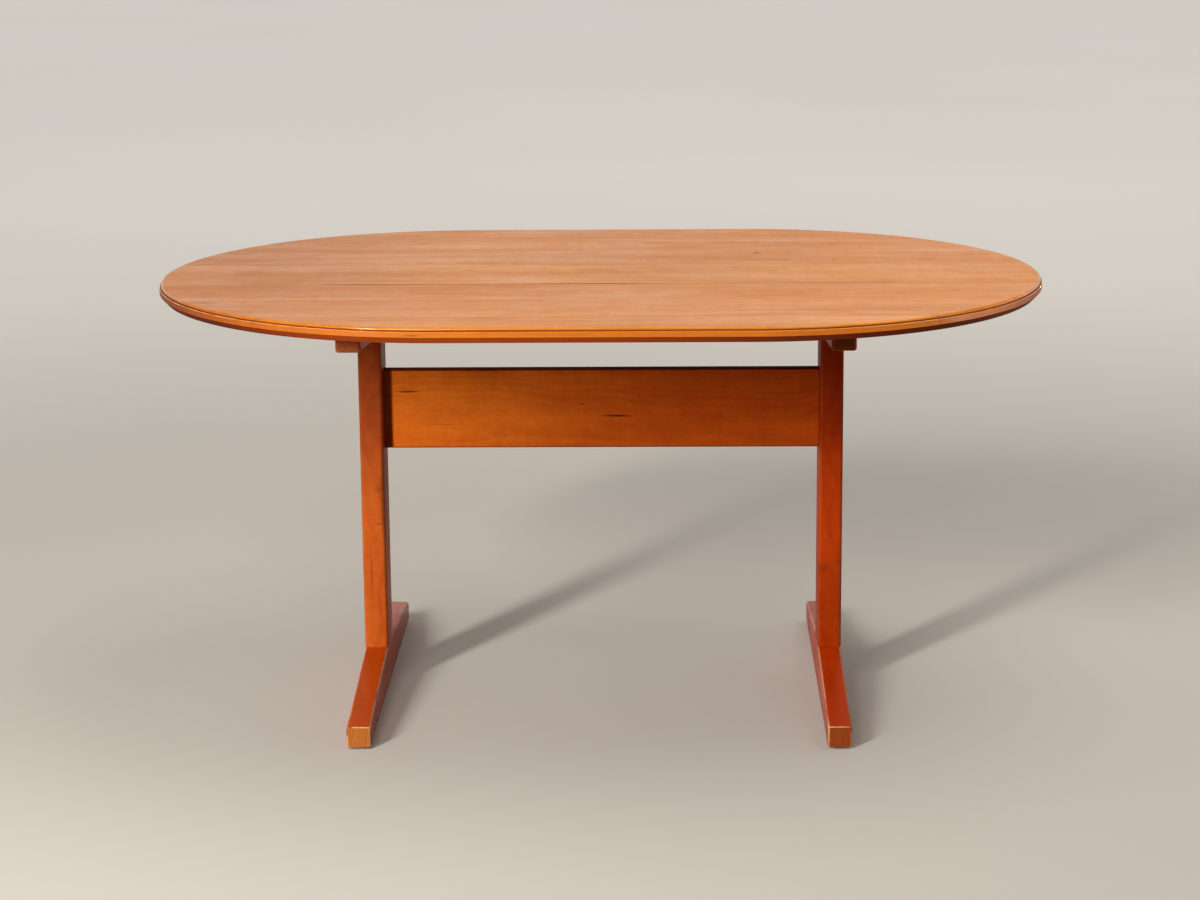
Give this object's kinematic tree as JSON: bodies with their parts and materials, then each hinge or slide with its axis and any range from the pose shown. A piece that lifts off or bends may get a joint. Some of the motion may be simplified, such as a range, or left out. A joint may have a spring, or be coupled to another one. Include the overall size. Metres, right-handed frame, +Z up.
{
  "type": "trestle dining table",
  "caption": "Trestle dining table: racetrack-shaped wooden top with a moulded edge on I-shaped trestles with tapered feet and bearers, joined by an upright stretcher board.",
  "frame": {"origin": "on the floor, under the middle of the top", "axes": "+X along the top to the right, +Y to the back, +Z up"},
  "size_m": [1.524, 1.016, 0.74],
  "materials": {
    "tabletop_board_1_front": "satin varnish over warm orange-brown wood",
    "tabletop_board_2_front": "satin varnish over warm orange-brown wood",
    "tabletop_board_3_front": "satin varnish over warm orange-brown wood",
    "tabletop_board_4_centre": "satin varnish over warm orange-brown wood",
    "tabletop_board_5_rear": "satin varnish over warm orange-brown wood",
    "tabletop_board_6_rear": "satin varnish over warm orange-brown wood",
    "tabletop_board_7_rear": "satin varnish over warm orange-brown wood",
    "left_foot": "satin varnish over reddish orange-brown wood",
    "left_post": "satin varnish over reddish orange-brown wood",
    "left_bearer": "satin varnish over reddish orange-brown wood",
    "right_foot": "satin varnish over reddish orange-brown wood",
    "right_post": "satin varnish over reddish orange-brown wood",
    "right_bearer": "satin varnish over reddish orange-brown wood",
    "stretcher": "satin varnish over reddish orange-brown wood",
    "dowel_wood": "bare pale hardwood",
    "bolt_steel": "zinc plated",
    "screw_steel": "zinc plated",
    "pad_felt": "dense dark felt"
  },
  "bodies": {
    "root": {"tabletop_board_1_front": "tabletop_board_1_front", "tabletop_board_2_front": "tabletop_board_2_front", "tabletop_board_3_front": "tabletop_board_3_front", "tabletop_board_4_centre": "tabletop_board_4_centre", "tabletop_board_5_rear": "tabletop_board_5_rear", "tabletop_board_6_rear": "tabletop_board_6_rear", "tabletop_board_7_rear": "tabletop_board_7_rear", "left_foot": "left_foot", "left_post": "left_post", "left_bearer": "left_bearer", "right_foot": "right_foot", "right_post": "right_post", "right_bearer": "right_bearer", "stretcher": "stretcher", "joint_1_left_dowel": "dowel_wood", "joint_1_middle_dowel": "dowel_wood", "joint_1_right_dowel": "dowel_wood", "joint_2_left_dowel": "dowel_wood", "joint_2_middle_dowel": "dowel_wood", "joint_2_right_dowel": "dowel_wood", "joint_3_left_dowel": "dowel_wood", "joint_3_middle_dowel": "dowel_wood", "joint_3_right_dowel": "dowel_wood", "joint_4_left_dowel": "dowel_wood", "joint_4_middle_dowel": "dowel_wood", "joint_4_right_dowel": "dowel_wood", "joint_5_left_dowel": "dowel_wood", "joint_5_middle_dowel": "dowel_wood", "joint_5_right_dowel": "dowel_wood", "joint_6_left_dowel": "dowel_wood", "joint_6_middle_dowel": "dowel_wood", "joint_6_right_dowel": "dowel_wood", "left_lower_bolt": "bolt_steel", "left_upper_bolt": "bolt_steel", "right_lower_bolt": "bolt_steel", "right_upper_bolt": "bolt_steel", "left_lower_washer": "bolt_steel", "left_upper_washer": "bolt_steel", "right_lower_washer": "bolt_steel", "right_upper_washer": "bolt_steel", "left_lower_barrel_nut": "bolt_steel", "left_upper_barrel_nut": "bolt_steel", "right_lower_barrel_nut": "bolt_steel", "right_upper_barrel_nut": "bolt_steel", "left_top_screw_1": "screw_steel", "left_top_screw_2": "screw_steel", "left_top_screw_3": "screw_steel", "left_top_screw_4": "screw_steel", "right_top_screw_1": "screw_steel", "right_top_screw_2": "screw_steel", "right_top_screw_3": "screw_steel", "right_top_screw_4": "screw_steel", "left_front_pad": "pad_felt", "left_rear_pad": "pad_felt", "right_front_pad": "pad_felt", "right_rear_pad": "pad_felt"}
  },
  "joints": []
}
